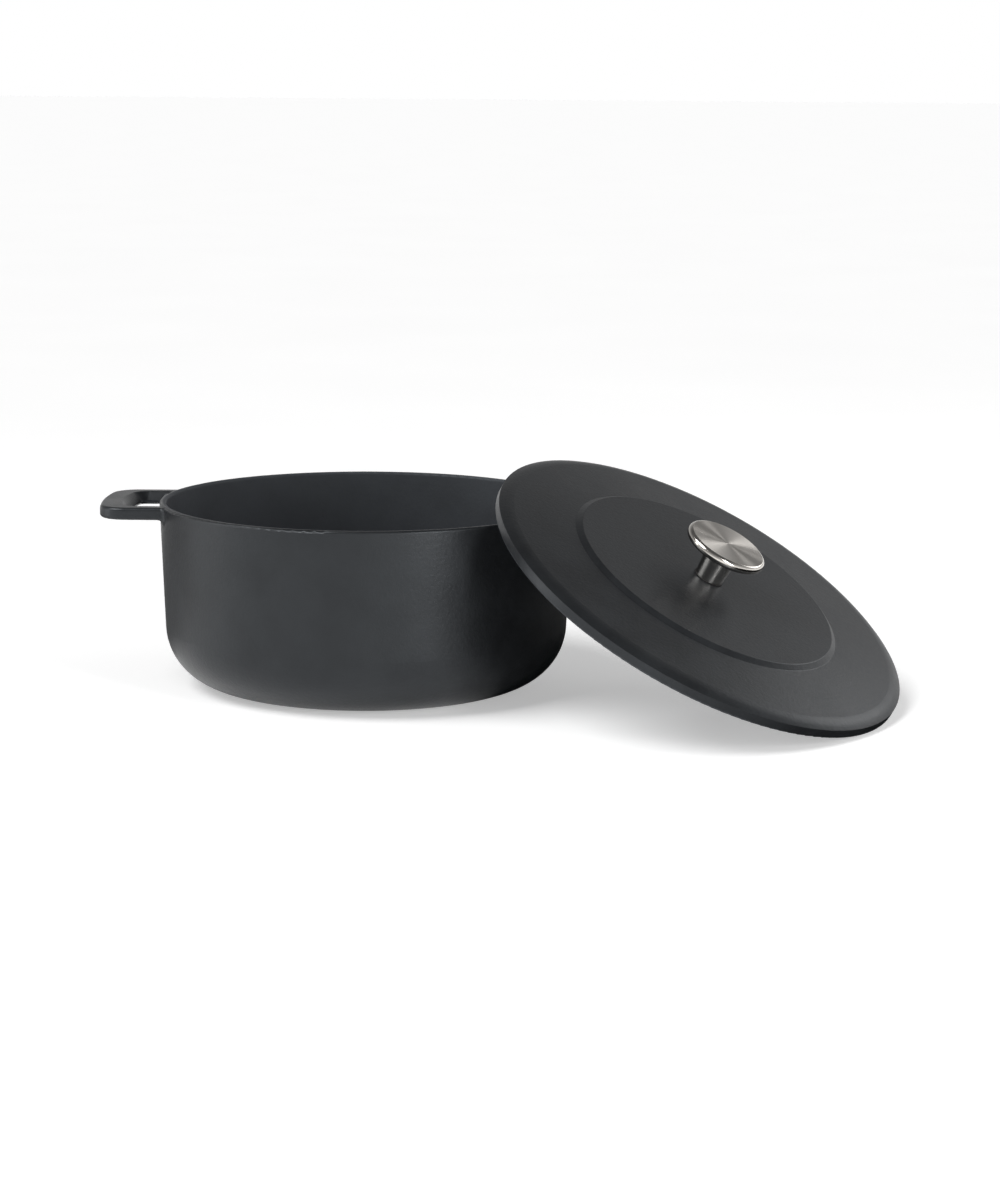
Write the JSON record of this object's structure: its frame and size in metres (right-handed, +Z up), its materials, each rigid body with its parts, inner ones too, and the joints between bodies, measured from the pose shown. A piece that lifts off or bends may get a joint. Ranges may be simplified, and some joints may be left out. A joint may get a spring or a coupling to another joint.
{
  "type": "dutch oven",
  "caption": "Round enamelled cast iron dutch oven with loop handles and a flat-topped lid with a steel knob, lid off and leaning on the pot.",
  "frame": {"origin": "centre of the pot's flat base, on the table", "axes": "+Z up along the pot's axis, +X along the two handles, towards the lid"},
  "size_m": [0.5349, 0.3637, 0.153],
  "materials": {
    "enamel": "satin black enamel",
    "knob_steel": "stainless steel, circular brushed face with a polished edge",
    "fastener_steel": "plain stainless steel",
    "gasket": "black silicone"
  },
  "bodies": {
    "pot": {"pot": "enamel"},
    "lid": {"lid": "enamel", "knob_cap": "knob_steel", "knob_stem": "knob_steel", "knob_gasket": "gasket", "knob_screw": "fastener_steel", "screw_washer": "fastener_steel", "spring_washer": "fastener_steel"}
  },
  "joints": [
    {"name": "lid_lift", "type": "slide", "parent": "pot", "child": "lid", "axis": [0, 0, 1], "range_m": [0, 0.2]}
  ]
}
